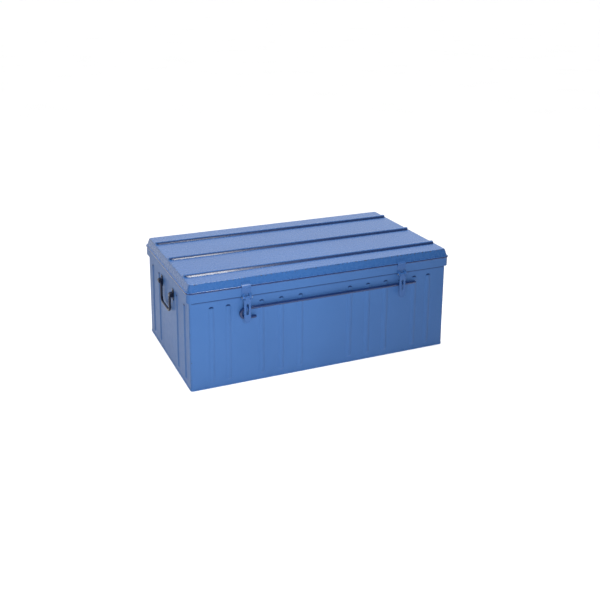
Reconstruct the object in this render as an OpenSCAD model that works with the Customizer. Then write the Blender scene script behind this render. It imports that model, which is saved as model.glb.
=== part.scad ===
// Sheet-steel storage trunk with a lift-up lid, two hasps, a long closing rod and two drop handles.
// Millimetres. +X runs along the front, +Y goes to the back, +Z is up.
// The origin is the centre of the underside.

/* [Body] */
// Outside length of the body, end to end
body_l = 900; // [760:10:1200]
// Outside depth of the body, front to back
body_w = 500; // [410:10:600]
// Height of the lid's lower edge above the floor
lid_z = 290; // [230:5:400]
// Thickness of the pressed sheet
sheet = 1.2; // [0.8:0.1:2]
// Outside radius of the body's upright corners
corner_r = 8; // [5:1:16]

/* [Pressed ribs of the walls] */
// Width of an upright rib
rib_w = 19; // [12:1:30]
// Height of an upright rib above the sheet
rib_h = 3.2; // [2:0.2:5]
// Distance from the floor to the foot of a rib
rib_foot = 19; // [12:1:40]
// Distance from the lid's lower edge to the top of a rib
rib_head = 22; // [12:1:40]
// Distance from the middle of the long walls to the first rib
rib_first = 87; // [50:1:120]
// Spacing of the ribs between the hasps
rib_pitch = 66; // [40:1:90]
// Distance from a corner to the nearest rib of the long walls
rib_edge = 68; // [40:1:90]
// Spacing of the two ribs beside a corner of the long walls
rib_edge_pitch = 54; // [30:1:80]
// Distance from a corner to the nearest rib of the end walls
end_rib_edge = 56; // [40:1:80]
// Distance from a handle's bracket to the centre of the nearest rib
end_rib_gap = 33; // [20:1:34]

/* [Rim and foot of the body] */
// Height of the rim frame inside the walls
rim_h = 22; // [14:1:40]
// Width of the rim frame's inward lip
rim_lip = 8; // [5:1:14]
// Height of the hem round the foot
hem_h = 6; // [4:1:12]
// How far the hem stands out from the walls
hem_out = 1; // [0.6:0.2:2]

/* [Lid] */
// How far the lid's rim band stands out beyond the walls
lid_over = 8; // [6:0.5:12]
// Height of the lid's upright rim band
band_h = 28; // [22:1:40]
// How far the band's inward seat reaches over the walls' outer face
seat_in = 2; // [1.6:0.2:4]
// Outside radius of the lid's upright corners
lid_corner_r = 16; // [16:1:26]
// Height from the top of the band to the top sheet
skirt_h = 29; // [20:1:40]
// How far the sloping skirt leans in
skirt_in = 10; // [6:0.5:10]
// Outside radius of the fold between skirt and top sheet
fold_r = 3.5; // [2.5:0.5:4]
// Diameter of the wired bead round the lid
bead_d = 6; // [4:0.5:8]
// Width of a long rib of the top sheet
top_rib_w = 34; // [24:1:44]
// Height of a long rib above the top sheet
top_rib_h = 7; // [4:0.5:10]
// Spacing of the three long ribs
top_rib_pitch = 172; // [130:1:200]
// Distance from the top sheet's outline to the blunt end of a long rib
top_rib_end = 2; // [2:1:20]

/* [Rear hinges] */
// Length of a hinge
hinge_l = 50; // [40:1:80]
// Thickness of a hinge leaf
leaf_t = 2; // [1.5:0.5:3]
// Outside radius of a hinge knuckle
knuckle_r = 4.5; // [4:0.5:6]
// Diameter of a hinge pin
hinge_pin_d = 5; // [4:0.5:6]
// Length of a hinge's middle knuckle
mid_knuckle = 20; // [14:1:30]
// Height of the leaf on the back wall, below the knuckles
body_leaf_h = 38; // [30:1:60]

/* [Hasps] */
// Distance from a body end to the centre of a hasp
hasp_end = 178; // [150:1:220]
// Width of a hasp's fixed leaf
hasp_w = 30; // [26:1:40]
// Thickness of a hasp's fixed leaf
hasp_leaf_t = 1.5; // [1.2:0.1:2]
// Outside radius of a hasp's knuckle
hasp_knuckle_r = 4; // [4:0.5:5]
// Diameter of a hasp's pin
hasp_pin_d = 3; // [2.5:0.5:4]
// Width of the hanging tongue
tongue_w = 22; // [18:1:26]
// Thickness of the tongue
tongue_t = 2; // [1.5:0.5:3]
// Distance from the lid's lower edge to the tongue's tip
tongue_drop = 83; // [70:1:110]
// Width of the slot in the tongue
slot_w = 8; // [6:0.5:10]
// Length of the slot in the tongue
slot_l = 36; // [28:1:44]

/* [Closing rod] */
// Diameter of the closing rod
rod_d = 10; // [8:0.5:12]
// Distance from the lid's lower edge to the rod's axis
rod_drop = 40; // [36:1:50]
// How far the rod's plain end passes the right hasp's centre
rod_past = 56; // [30:1:80]
// Drop of the rod's hooked end, centre to centre
hook_drop = 30; // [24:1:40]
// Length of the hook's lower leg
hook_leg = 31; // [15:1:45]
// Diameter of the wire of the rod's staples
staple_d = 4; // [3:0.5:5]
// Diameter of the padlock hole in the rod's plain end
padlock_d = 5.5; // [4:0.5:6]
// Thickness of the rod across the flats at the padlock hole
flat_t = 6; // [5:0.5:7]
// Length of the flats
flat_l = 16; // [12:1:24]

/* [End handles] */
// Distance between the legs of a handle, centre to centre
bail_w = 104; // [90:1:140]
// Distance from a handle's pivot to the centre of its grip
bail_drop = 64; // [50:1:90]
// Diameter of the handle's bar
bail_d = 8; // [6:0.5:9]
// Radius of the handle's lower corners, at the bar's centre
bail_r = 18; // [12:1:26]
// Distance from the lid's lower edge to a handle's pivot
pivot_drop = 37; // [32:1:60]
// Length of a handle's bearing bracket
bracket_l = 16; // [12:1:24]
// Wall of the bracket round the bar
bracket_wall = 3; // [2:0.5:4]

/* [Fits and fasteners] */
// Radial clearance of a pin or bar that turns in its hole
pin_fit = 0.05; // [0.02:0.01:0.09]
// End gap between neighbouring knuckles
knuckle_gap = 0.4; // [0.3:0.1:0.8]
// Gap between the lid's seat and the walls under it
seat_gap = 0.4; // [0.3:0.1:0.8]
// Gap between the rod and what it slides past
rod_gap = 0.5; // [0.3:0.1:0.8]
// Gap between the hanging tongue and the staple behind it
tongue_gap = 0.3; // [0.3:0.1:0.8]
// Diameter of a rivet's shank
rivet_d = 4; // [3:0.5:5]
// Diameter of a rivet's domed head
rivet_head_d = 7; // [6:0.5:9]
// Height of a rivet's domed head
rivet_head_h = 1.8; // [1.2:0.2:2.4]

/* [Hidden] */
$fn = 96;
EPS = 0.01;

PAINT = "steelblue";
PAINT_DARK = "royalblue";
HANDLE = "midnightblue";
ZINC = "lightsteelblue";

// Lid: outside size of the band, and the heights of its parts
lid_l = body_l + 2 * lid_over;
lid_w = body_w + 2 * lid_over;
band_top = lid_z + band_h;
lid_top = band_top + skirt_h;
wall_top = band_top - sheet - seat_gap;
// Width of the inward seat at the band's top, which rests on the walls
seat_w = lid_over + seat_in;
bead_z = band_top + bead_d / 2;
// The bead's centre lies a little inside the band's outer face
bead_in = 0.3;

// Skirt: a straight slope from the bead up to the fold
slope = atan((skirt_in - bead_in) / (lid_top - bead_z));
fold_turn = 90 - slope;
fold_run = fold_r * tan(fold_turn / 2);
fold_u = lid_corner_r - skirt_in - fold_run;

// Hasps and rod: distances outward from the front wall
hasp_x = body_l / 2 - hasp_end;
rod_z = lid_z - rod_drop;
rod_out = rib_h + rod_gap + rod_d / 2;
eye_r = rod_d / 2 + rod_gap + staple_d / 2;
staple_out = rod_out + eye_r + staple_d / 2;
tongue_out = staple_out + tongue_gap + tongue_t;
hasp_pin_out = tongue_out - hasp_knuckle_r;
hasp_pin_z = lid_z - 2;
// The tongue widens this far below its pin
tongue_neck = 6;
hasp_mid = 13.2;
hook_r = hook_drop / 2;
hook_x = -hasp_x - staple_d / 2 - rod_gap;
rod_right = hasp_x + rod_past;
rod_tip = 1;
pin_head = 1.2;

// Ribs between the hasps stop this far short of a hasp's centre
hasp_clear = 40;
inner_ribs = floor((hasp_x - hasp_clear - rib_first) / rib_pitch);
wall_rib_x = concat(
    [for (i = [0 : inner_ribs]) rib_first + i * rib_pitch],
    [for (i = [0 : 1]) body_l / 2 - rib_edge - i * rib_edge_pitch]
);

// Rear hinges
hinge_x = [-hasp_x, 0, hasp_x];
hinge_out = lid_over + leaf_t - knuckle_r + 0.5;
hinge_z = lid_z - knuckle_r - 1;
body_leaf_top = hinge_z - knuckle_r - 0.5;
lid_leaf_foot = lid_z + 1;
lid_leaf_top = band_top - 3;
lid_rivet_z = (lid_leaf_foot + lid_leaf_top) / 2;
body_rivet_z = body_leaf_top - body_leaf_h / 2;
hinge_rivet_x = hinge_l / 2 - 9;

// Handles
pivot_z = lid_z - pivot_drop;
pivot_out = bail_d;
journal_bend = 7;
journal_y = bail_w / 2 + journal_bend;
journal_l = bracket_l + 4;
bracket_y = journal_y + 2;
bracket_r = bail_d / 2 + bracket_wall;
flange_t = 2;
flange_h = 2 * bracket_r + 22;
handle_rivet_z = bracket_r + 5.5;
end_rib_y = [body_w / 2 - end_rib_edge, bracket_y + bracket_l + end_rib_gap];

// ---------------------------------------------------------------- shared shapes

// Sweeps a profile round a rectangle with round corners. The profile's x is the distance from
// the corner axes, so x = r lies on the outline of size l by w.
module ring_sweep(l, w, r) {
    a = l / 2 - r;
    b = w / 2 - r;
    for (i = [0 : 3]) {
        out = i % 2 == 0 ? a : b;
        run = i % 2 == 0 ? b : a;
        rotate([0, 0, 90 * i]) translate([out, run, 0]) {
            rotate([90, 0, 0]) linear_extrude(2 * run) children();
            rotate_extrude(angle = 90) children();
        }
    }
}

// A rectangle with round corners, centred
module round_rect(l, w, r) {
    square([l - 2 * r, w], center = true);
    square([l, w - 2 * r], center = true);
    for (x = [-1, 1], y = [-1, 1])
        translate([x * (l / 2 - r), y * (w / 2 - r)]) circle(r);
}

// A long rod with ball ends along +Z, from z = 0 to z = l between the ball centres
module capsule(l, r) {
    cylinder(r = r, h = l);
    sphere(r);
    translate([0, 0, l]) sphere(r);
}

function rib_radius(w, h) = (w * w / 4 + h * h) / (2 * h);

// Pressed rib along +Z, standing out in -Y from the plane y = 0: the outer skin
module rib_skin(l, w, h) {
    r = rib_radius(w, h);
    intersection() {
        translate([0, r - h, w / 2]) capsule(l - w, r);
        translate([-w, -h - 1, -w]) cube([2 * w, h + 1 + sheet / 2, l + 2 * w]);
    }
}

// The hollow behind that rib
module rib_hollow(l, w, h) {
    r = rib_radius(w, h);
    translate([0, r - h, w / 2]) capsule(l - w, r - sheet);
}

// Rivet with its axis along +Z: domed head on z = 0 upwards, shank down through a stack, flat tail
module rivet(stack) {
    ball = rib_radius(rivet_head_d, rivet_head_h);
    intersection() {
        translate([0, 0, rivet_head_h - ball]) sphere(ball);
        cylinder(d = rivet_head_d + 1, h = rivet_head_h + 1);
    }
    translate([0, 0, -stack - EPS]) cylinder(d = rivet_d, h = stack + 2 * EPS);
    translate([0, 0, -stack - 1]) cylinder(d = rivet_head_d - 1, h = 1);
}

// Hole for a rivet's shank, its axis along Z through z = 0
module rivet_hole() {
    translate([0, 0, -6]) cylinder(d = rivet_d + 2 * pin_fit, h = 12);
}

// ---------------------------------------------------------------- body

module base_panel() {
    color(PAINT)
        linear_extrude(sheet)
            round_rect(body_l - 2 * sheet, body_w - 2 * sheet, corner_r - sheet);
}

module base_hem() {
    color(PAINT)
        ring_sweep(body_l, body_w, corner_r)
            translate([corner_r, 0]) square([hem_out, hem_h]);
}

// Plan of a long wall, outer face on y = 0 facing -Y, with both upright corners turned back
module long_wall_plan() {
    translate([-body_l / 2 + corner_r, 0]) square([body_l - 2 * corner_r, sheet]);
    for (side = [-1, 1])
        translate([side * (body_l / 2 - corner_r), corner_r]) intersection() {
            difference() {
                circle(corner_r);
                circle(corner_r - sheet);
            }
            translate([side > 0 ? 0 : -corner_r, -corner_r]) square(corner_r);
        }
}

// Long wall standing on z = 0, outer face on y = 0 facing -Y
module long_wall() {
    rib_l = lid_z - rib_head - rib_foot;
    difference() {
        union() {
            linear_extrude(wall_top) long_wall_plan();
            for (x = wall_rib_x, side = [-1, 1])
                translate([side * x, 0, rib_foot]) rib_skin(rib_l, rib_w, rib_h);
        }
        for (x = wall_rib_x, side = [-1, 1])
            translate([side * x, 0, rib_foot]) rib_hollow(rib_l, rib_w, rib_h);
    }
}

// End wall standing on z = 0, outer face on y = 0 facing -Y
module end_wall() {
    rib_l = lid_z - rib_head - rib_foot;
    plain_l = body_w - 2 * corner_r;
    difference() {
        union() {
            translate([-plain_l / 2, 0, 0]) cube([plain_l, sheet, wall_top]);
            for (y = end_rib_y, side = [-1, 1])
                translate([side * y, 0, rib_foot]) rib_skin(rib_l, rib_w, rib_h);
        }
        for (y = end_rib_y, side = [-1, 1])
            translate([side * y, 0, rib_foot]) rib_hollow(rib_l, rib_w, rib_h);
        for (side = [-1, 1], up = [-1, 1])
            translate([side * (bracket_y + bracket_l / 2), 0, pivot_z + up * handle_rivet_z])
                rotate([90, 0, 0]) rivet_hole();
    }
}

module front_panel() {
    color(PAINT) translate([0, -body_w / 2, 0]) long_wall();
}

module back_panel() {
    color(PAINT) difference() {
        rotate([0, 0, 180]) translate([0, -body_w / 2, 0]) long_wall();
        for (x = hinge_x, side = [-1, 1])
            translate([x + side * hinge_rivet_x, body_w / 2, body_rivet_z])
                rotate([90, 0, 0]) rivet_hole();
    }
}

module end_panel(side) {
    color(PAINT) rotate([0, 0, side * 90]) translate([0, -body_l / 2, 0]) end_wall();
}

module body_rim() {
    r = corner_r - sheet;
    color(PAINT) ring_sweep(body_l - 2 * sheet, body_w - 2 * sheet, r) {
        translate([r - sheet, wall_top - rim_h]) square([sheet, rim_h]);
        translate([max(0, r - rim_lip), wall_top - sheet]) square([min(r, rim_lip), sheet]);
    }
    if (rim_lip > r)
        color(PAINT) translate([0, 0, wall_top - sheet]) linear_extrude(sheet) difference() {
            square([body_l - 2 * corner_r, body_w - 2 * corner_r], center = true);
            square([body_l - 2 * sheet - 2 * rim_lip, body_w - 2 * sheet - 2 * rim_lip], center = true);
        }
}

// ---------------------------------------------------------------- lid

// Profile of the rim band: an upright strip with an inward seat at its top
module band_profile() {
    translate([lid_corner_r - sheet, lid_z]) square([sheet, band_h]);
    translate([lid_corner_r - seat_w, band_top - sheet]) square([seat_w, sheet]);
}

module lid_rim_band() {
    color(PAINT) difference() {
        ring_sweep(lid_l, lid_w, lid_corner_r) band_profile();
        for (x = hinge_x, side = [-1, 1])
            translate([x + side * hinge_rivet_x, lid_w / 2, lid_rivet_z])
                rotate([90, 0, 0]) rivet_hole();
    }
}

// Profile of the top pan's side: foot flange, wired bead, sloping skirt and the fold at the top
module skirt_profile() {
    foot_u = lid_corner_r - bead_in;
    translate([lid_corner_r - seat_w, band_top]) square([seat_w - bead_in, sheet]);
    translate([foot_u, bead_z]) circle(d = bead_d);
    tip_u = fold_u + fold_r * cos(slope);
    tip_z = lid_top - fold_r + fold_r * sin(slope);
    polygon([
        [foot_u, bead_z],
        [tip_u, tip_z],
        [tip_u - sheet * cos(slope), tip_z - sheet * sin(slope)],
        [foot_u - sheet * cos(slope), bead_z - sheet * sin(slope)]
    ]);
    translate([fold_u, lid_top - fold_r]) intersection() {
        difference() {
            circle(fold_r);
            circle(fold_r - sheet);
        }
        polygon([[0, 0], [2 * fold_r * cos(slope), 2 * fold_r * sin(slope)],
            [2 * fold_r, 3 * fold_r], [0, 3 * fold_r]]);
    }
}

// Long rib of the top sheet, drawn in by an inset: an arched bar with blunt round ends, from a depth
module long_rib(inset, depth) {
    r = rib_radius(top_rib_w, top_rib_h);
    l = lid_l - 2 * skirt_in - 2 * top_rib_end - 2 * inset;
    w = top_rib_w - 2 * inset;
    intersection() {
        translate([-l / 2 - 1, 0, lid_top + top_rib_h - r]) rotate([0, 90, 0])
            cylinder(r = r - inset, h = l + 2);
        translate([0, 0, lid_top - depth]) linear_extrude(top_rib_h + depth + 1) {
            square([l - w, w], center = true);
            for (end = [-1, 1]) translate([end * (l - w) / 2, 0]) circle(d = w);
        }
    }
}

module lid_top_pan() {
    top_l = lid_l - 2 * (lid_corner_r - fold_u);
    top_w = lid_w - 2 * (lid_corner_r - fold_u);
    color(PAINT) difference() {
        union() {
            ring_sweep(lid_l, lid_w, lid_corner_r) skirt_profile();
            translate([0, 0, lid_top - sheet]) linear_extrude(sheet) round_rect(top_l, top_w, fold_u);
            for (i = [-1 : 1]) translate([0, i * top_rib_pitch, 0]) long_rib(0, sheet / 2);
        }
        for (i = [-1 : 1]) translate([0, i * top_rib_pitch, 0]) long_rib(sheet, 2 * sheet);
    }
}

// ---------------------------------------------------------------- rear hinges

side_knuckle = (hinge_l - mid_knuckle) / 2 - knuckle_gap;

// Hinge parts stand at x = 0 on the back wall's outer face, which is y = 0 facing +Y.
// A profile's x is the distance outward and its y is the height.
module hinge_extrude(x, l) {
    translate([x, 0, 0]) rotate([90, 0, 90]) linear_extrude(l) children();
}

module pin_hole(d) {
    circle(d = d + 2 * pin_fit);
}

module body_leaf() {
    difference() {
        hinge_extrude(-hinge_l / 2, hinge_l)
            translate([0, body_leaf_top - body_leaf_h]) square([leaf_t, body_leaf_h]);
        for (side = [-1, 1])
            translate([side * hinge_rivet_x, 0, body_rivet_z]) rotate([90, 0, 0]) rivet_hole();
    }
    for (side = [0, 1])
        mirror([side, 0, 0]) hinge_extrude(mid_knuckle / 2 + knuckle_gap, side_knuckle) difference() {
            union() {
                translate([hinge_out, hinge_z]) circle(knuckle_r);
                translate([0, body_leaf_top]) square([leaf_t, hinge_z - body_leaf_top]);
                translate([0, hinge_z - knuckle_r]) square([hinge_out, knuckle_r]);
            }
            translate([hinge_out, hinge_z]) pin_hole(hinge_pin_d);
        }
}

module lid_leaf() {
    difference() {
        hinge_extrude(-hinge_l / 2, hinge_l)
            translate([lid_over, lid_leaf_foot]) square([leaf_t, lid_leaf_top - lid_leaf_foot]);
        for (side = [-1, 1])
            translate([side * hinge_rivet_x, lid_over, lid_rivet_z])
                rotate([90, 0, 0]) rivet_hole();
    }
    hinge_extrude(-mid_knuckle / 2, mid_knuckle) difference() {
        union() {
            translate([hinge_out, hinge_z]) circle(knuckle_r);
            translate([lid_over, hinge_z]) square([leaf_t, lid_leaf_foot - hinge_z]);
        }
        translate([hinge_out, hinge_z]) pin_hole(hinge_pin_d);
    }
}

// Pin with a flat head at each end, along X and centred
module headed_pin(l, d) {
    rotate([0, 90, 0]) {
        cylinder(d = d, h = l + 2 * knuckle_gap + EPS, center = true);
        for (end = [-1, 1])
            translate([0, 0, end * (l / 2 + knuckle_gap + pin_head / 2)])
                cylinder(d = d + 2, h = pin_head, center = true);
    }
}

module each_hinge() {
    for (x = hinge_x) translate([x, body_w / 2, 0]) children();
}

module hinge_body_leaves() {
    color(PAINT_DARK) each_hinge() body_leaf();
}

module hinge_lid_leaves() {
    color(PAINT_DARK) each_hinge() lid_leaf();
}

module hinge_pins() {
    color(ZINC) each_hinge() translate([0, hinge_out, hinge_z]) headed_pin(hinge_l, hinge_pin_d);
}

module hinge_body_rivets() {
    color(PAINT_DARK) each_hinge() for (side = [-1, 1])
        translate([side * hinge_rivet_x, leaf_t, body_rivet_z])
            rotate([-90, 0, 0]) rivet(leaf_t + sheet);
}

module hinge_lid_rivets() {
    color(PAINT_DARK) each_hinge() for (side = [-1, 1])
        translate([side * hinge_rivet_x, lid_over + leaf_t, lid_rivet_z])
            rotate([-90, 0, 0]) rivet(leaf_t + sheet);
}

// ---------------------------------------------------------------- hasps

// Hasp parts stand at x = 0. A profile's x is the distance outward from the front wall.
module hasp_place(side) {
    translate([side * hasp_x, -body_w / 2, 0]) mirror([0, 1, 0]) children();
}

module hasp_extrude(x, l) {
    translate([x, 0, 0]) rotate([90, 0, 90]) linear_extrude(l) children();
}

// Distance outward of the skirt's outer face at a height
function skirt_out(z) = lid_over - bead_in - (z - bead_z) * tan(slope);

// The fixed leaf lies on the band, steps over the bead and ends on the skirt
module hasp_leaf_profile() {
    face = lid_over;
    step = lid_over - bead_in + bead_d / 2 + 0.4;
    over_z = bead_z + bead_d / 2;
    skirt_foot = over_z + 2.4;
    skirt_end = over_z + 10;
    skin = 0.4;
    polygon([
        [face, lid_z + 6],
        [face, band_top - 1.6],
        [step, band_top + 0.4],
        [step, over_z - 0.4],
        [skirt_out(skirt_foot) + skin, skirt_foot],
        [skirt_out(skirt_end) + skin, skirt_end],
        [skirt_out(skirt_end) + skin + hasp_leaf_t, skirt_end + 0.6],
        [skirt_out(skirt_foot) + skin + hasp_leaf_t, skirt_foot + 1.1],
        [step + hasp_leaf_t, over_z + 0.5],
        [step + hasp_leaf_t, band_top - 0.4],
        [face + hasp_leaf_t, band_top - 2.4],
        [face + hasp_leaf_t, lid_z + 6]
    ]);
}

// Arm from the leaf to a knuckle
module hasp_arm_profile() {
    difference() {
        union() {
            translate([hasp_pin_out, hasp_pin_z]) circle(hasp_knuckle_r);
            polygon([
                [lid_over, lid_z + 6],
                [lid_over, lid_z + 9],
                [lid_over + hasp_leaf_t, lid_z + 9.5],
                [hasp_pin_out, hasp_pin_z + hasp_knuckle_r - 0.4],
                [hasp_pin_out - hasp_knuckle_r + 0.4, hasp_pin_z]
            ]);
        }
        translate([hasp_pin_out, hasp_pin_z]) pin_hole(hasp_pin_d);
    }
}

module hasp_leaf(side) {
    arm = (hasp_w - hasp_mid) / 2 - knuckle_gap;
    color(PAINT_DARK) hasp_place(side) {
        hasp_extrude(-hasp_w / 2, hasp_w) hasp_leaf_profile();
        for (end = [0, 1])
            mirror([end, 0, 0]) hasp_extrude(hasp_mid / 2 + knuckle_gap, arm) hasp_arm_profile();
    }
}

module hasp_pin(side) {
    color(ZINC) hasp_place(side)
        translate([0, hasp_pin_out, hasp_pin_z]) headed_pin(hasp_w, hasp_pin_d);
}

// Outline of the tongue in its own plane, pin axis at y = 0
module tongue_outline() {
    tip = hasp_pin_z - lid_z + tongue_drop;
    slot_y = hasp_pin_z - rod_z;
    difference() {
        union() {
            translate([-tongue_w / 2, -tip + tongue_w / 2])
                square([tongue_w, tip - tongue_w / 2 - tongue_neck]);
            translate([0, -tip + tongue_w / 2]) circle(d = tongue_w);
            translate([-hasp_mid / 2, -tongue_neck - 1]) square([hasp_mid, tongue_neck + 1]);
        }
        translate([0, -slot_y]) {
            square([slot_w, slot_l - slot_w], center = true);
            for (end = [-1, 1])
                translate([0, end * (slot_l - slot_w) / 2]) circle(d = slot_w);
        }
    }
}

module hasp_tongue(side) {
    color(PAINT_DARK) hasp_place(side) difference() {
        union() {
            translate([0, tongue_out, hasp_pin_z])
                rotate([90, 0, 0]) linear_extrude(tongue_t) tongue_outline();
            hasp_extrude(-hasp_mid / 2, hasp_mid)
                translate([hasp_pin_out, hasp_pin_z]) circle(hasp_knuckle_r);
        }
        hasp_extrude(-hasp_mid, 2 * hasp_mid)
            translate([hasp_pin_out, hasp_pin_z]) pin_hole(hasp_pin_d);
    }
}

// ---------------------------------------------------------------- closing rod

// Staple: an upright eye whose two legs are welded to the front wall
module staple() {
    for (up = [-1, 1])
        translate([0, 0, rod_z + up * eye_r]) rotate([90, 0, 0]) {
            cylinder(d = staple_d, h = rod_out);
            cylinder(d = staple_d + 2.4, h = 1);
        }
    translate([0, -rod_out, rod_z]) rotate([0, 90, 0]) rotate([0, 0, 180])
        rotate_extrude(angle = 180) translate([eye_r, 0]) circle(d = staple_d);
}

module rod_staples() {
    color(PAINT_DARK) for (side = [-1, 1])
        translate([side * hasp_x, -body_w / 2, 0]) staple();
}

module closing_rod() {
    color(PAINT_DARK) translate([0, -body_w / 2 - rod_out, rod_z]) {
        difference() {
            union() {
                translate([hook_x, 0, 0]) rotate([0, 90, 0])
                    cylinder(d = rod_d, h = rod_right - rod_tip - hook_x);
                translate([rod_right - rod_tip, 0, 0]) rotate([0, 90, 0])
                    cylinder(d1 = rod_d, d2 = rod_d - 2 * rod_tip, h = rod_tip);
            }
            for (up = [-1, 1])
                translate([rod_right - flat_l / 2 + 1, 0, up * (flat_t / 2 + rod_d / 2)])
                    cube([flat_l + 2, 2 * rod_d, rod_d], center = true);
            translate([rod_right - flat_l / 2, 0, -rod_d]) cylinder(d = padlock_d, h = 2 * rod_d);
        }
        translate([hook_x, 0, -hook_r]) rotate([90, 0, 0]) rotate([0, 0, 90])
            rotate_extrude(angle = 180) translate([hook_r, 0]) circle(d = rod_d);
        translate([hook_x, 0, -hook_drop]) rotate([0, 90, 0]) cylinder(d = rod_d, h = hook_leg);
        translate([hook_x + hook_leg, 0, -hook_drop]) sphere(d = rod_d);
    }
}

// ---------------------------------------------------------------- end handles

// Handle parts stand on the right end wall's outer face, which is x = 0 facing +X
module end_place(side) {
    mirror([side > 0 ? 0 : 1, 0, 0]) translate([body_l / 2, 0, 0]) children();
}

// Quarter bend of the bar in the Y-Z plane, centred on the origin, from angle a
module bar_bend(r, a) {
    rotate([90, 0, 90]) rotate([0, 0, a])
        rotate_extrude(angle = 90) translate([r, 0]) circle(d = bail_d);
}

module handle_bail(side) {
    leg_y = bail_w / 2;
    color(HANDLE) end_place(side) translate([pivot_out, 0, pivot_z]) {
        translate([0, -leg_y + bail_r, -bail_drop]) rotate([-90, 0, 0])
            cylinder(d = bail_d, h = bail_w - 2 * bail_r);
        for (end = [0, 1]) mirror([0, end, 0]) {
            translate([0, leg_y - bail_r, -bail_drop + bail_r]) bar_bend(bail_r, -90);
            translate([0, leg_y, -bail_drop + bail_r])
                cylinder(d = bail_d, h = bail_drop - bail_r - journal_bend);
            translate([0, journal_y, -journal_bend]) bar_bend(journal_bend, 90);
            translate([0, journal_y, 0]) rotate([-90, 0, 0]) cylinder(d = bail_d, h = journal_l);
        }
    }
}

module bracket_profile() {
    difference() {
        union() {
            translate([0, -flange_h / 2]) square([flange_t, flange_h]);
            translate([0, -bracket_r]) square([pivot_out, 2 * bracket_r]);
            translate([pivot_out, 0]) circle(bracket_r);
        }
        translate([pivot_out, 0]) circle(bail_d / 2 + pin_fit);
    }
}

module handle_brackets(side) {
    color(HANDLE) end_place(side) for (end = [0, 1]) mirror([0, end, 0]) difference() {
        translate([0, bracket_y + bracket_l, pivot_z])
            rotate([90, 0, 0]) linear_extrude(bracket_l) bracket_profile();
        for (up = [-1, 1])
            translate([0, bracket_y + bracket_l / 2, pivot_z + up * handle_rivet_z])
                rotate([0, 90, 0]) rivet_hole();
    }
}

module handle_rivets(side) {
    color(HANDLE) end_place(side) for (end = [-1, 1], up = [-1, 1])
        translate([flange_t, end * (bracket_y + bracket_l / 2), pivot_z + up * handle_rivet_z])
            rotate([0, 90, 0]) rivet(flange_t + sheet);
}

// ---------------------------------------------------------------- output

base_panel();
base_hem();
front_panel();
back_panel();
end_panel(-1);  // left_end_panel
end_panel(1);  // right_end_panel
body_rim();
rod_staples();
hinge_body_leaves();
hinge_pins();
hinge_body_rivets();
handle_brackets(-1);  // left_handle_brackets
handle_brackets(1);  // right_handle_brackets
handle_rivets(-1);  // left_handle_rivets
handle_rivets(1);  // right_handle_rivets
lid_top_pan();
lid_rim_band();
hinge_lid_leaves();
hinge_lid_rivets();
hasp_leaf(-1);  // left_hasp_leaf
hasp_leaf(1);  // right_hasp_leaf
hasp_pin(-1);  // left_hasp_pin
hasp_pin(1);  // right_hasp_pin
hasp_tongue(-1);  // left_hasp_tongue
hasp_tongue(1);  // right_hasp_tongue
closing_rod();
handle_bail(-1);  // left_handle_bail
handle_bail(1);  // right_handle_bail
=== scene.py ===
"""Looks of a pressed-steel storage trunk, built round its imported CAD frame.

The trunk's pressed walls and the pan of its lid are drawn afresh as thin sheet with soft press
radii and a little oil-canning. Every other sub-part keeps its CAD mesh and gets softened edges.
All of them are painted with node-built enamels. Lengths are in metres unless a name ends in _mm.
"""
import sys

import logging
import math
from dataclasses import dataclass, field
from enum import Enum
from typing import Any, Sequence

import bmesh
import bpy
from mathutils import Matrix, Vector, noise


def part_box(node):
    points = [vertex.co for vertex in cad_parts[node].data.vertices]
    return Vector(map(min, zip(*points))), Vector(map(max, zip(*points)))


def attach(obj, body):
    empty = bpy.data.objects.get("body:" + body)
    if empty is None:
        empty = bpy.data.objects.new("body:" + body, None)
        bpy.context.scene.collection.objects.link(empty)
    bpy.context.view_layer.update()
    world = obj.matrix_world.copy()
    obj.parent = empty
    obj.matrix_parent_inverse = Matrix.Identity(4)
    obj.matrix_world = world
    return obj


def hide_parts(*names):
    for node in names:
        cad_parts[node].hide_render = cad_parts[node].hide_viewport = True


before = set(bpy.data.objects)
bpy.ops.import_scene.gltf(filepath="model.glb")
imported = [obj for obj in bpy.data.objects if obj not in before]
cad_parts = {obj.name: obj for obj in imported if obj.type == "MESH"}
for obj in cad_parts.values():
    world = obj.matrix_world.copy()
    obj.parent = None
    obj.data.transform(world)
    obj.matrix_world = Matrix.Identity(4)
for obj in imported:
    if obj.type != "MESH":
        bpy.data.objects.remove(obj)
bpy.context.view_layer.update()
LOG = logging.getLogger("trunk")
MM = 0.001
SIDES = (-1, 1)
BEAD_SLOT = 1
WHITE = (1.0, 1.0, 1.0, 1.0)

# Waves a metre of a slack sheet: slow ones, and a share of quicker ones on top.
BROAD_WAVES = 5.0
TIGHT_WAVES = 13.0
TIGHT_SHARE = 0.35
TIGHT_SEED = 40.0

# Waves a metre of each unevenness in the paint.
CLOUD_WAVES = 3.2
MOTTLE_WAVES = 70.0
GRAIN_WAVES = 420.0
PATCH_WAVES = 7.0
FLECK_WAVES = 260.0
SCRATCH_WAVES = 9.0
PEEL_WAVES = 360.0


class Body(Enum):
    """The moving bodies of the frame that new pieces ride on."""

    TRUNK = "trunk"
    LID = "lid"


class Slot(Enum):
    """The material slots that new pieces take their finish from."""

    BODY = "body_enamel"
    LID = "lid_enamel"
    FITTING = "fitting_enamel"
    HANDLE = "handle_enamel"
    PIN = "pin_zinc"


class Finish(Enum):
    """The coats that are mixed: one for each slot, and a dark one for the rod and the bead; on the
    bead the dark coat is painted shade, standing for the shadow line along it.
    """

    BODY = "satin blue"
    LID = "gloss blue"
    FITTING = "brushed blue"
    HANDLE = "near-black"
    PIN = "bare zinc"
    DARK = "dark gloss blue"


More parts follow.
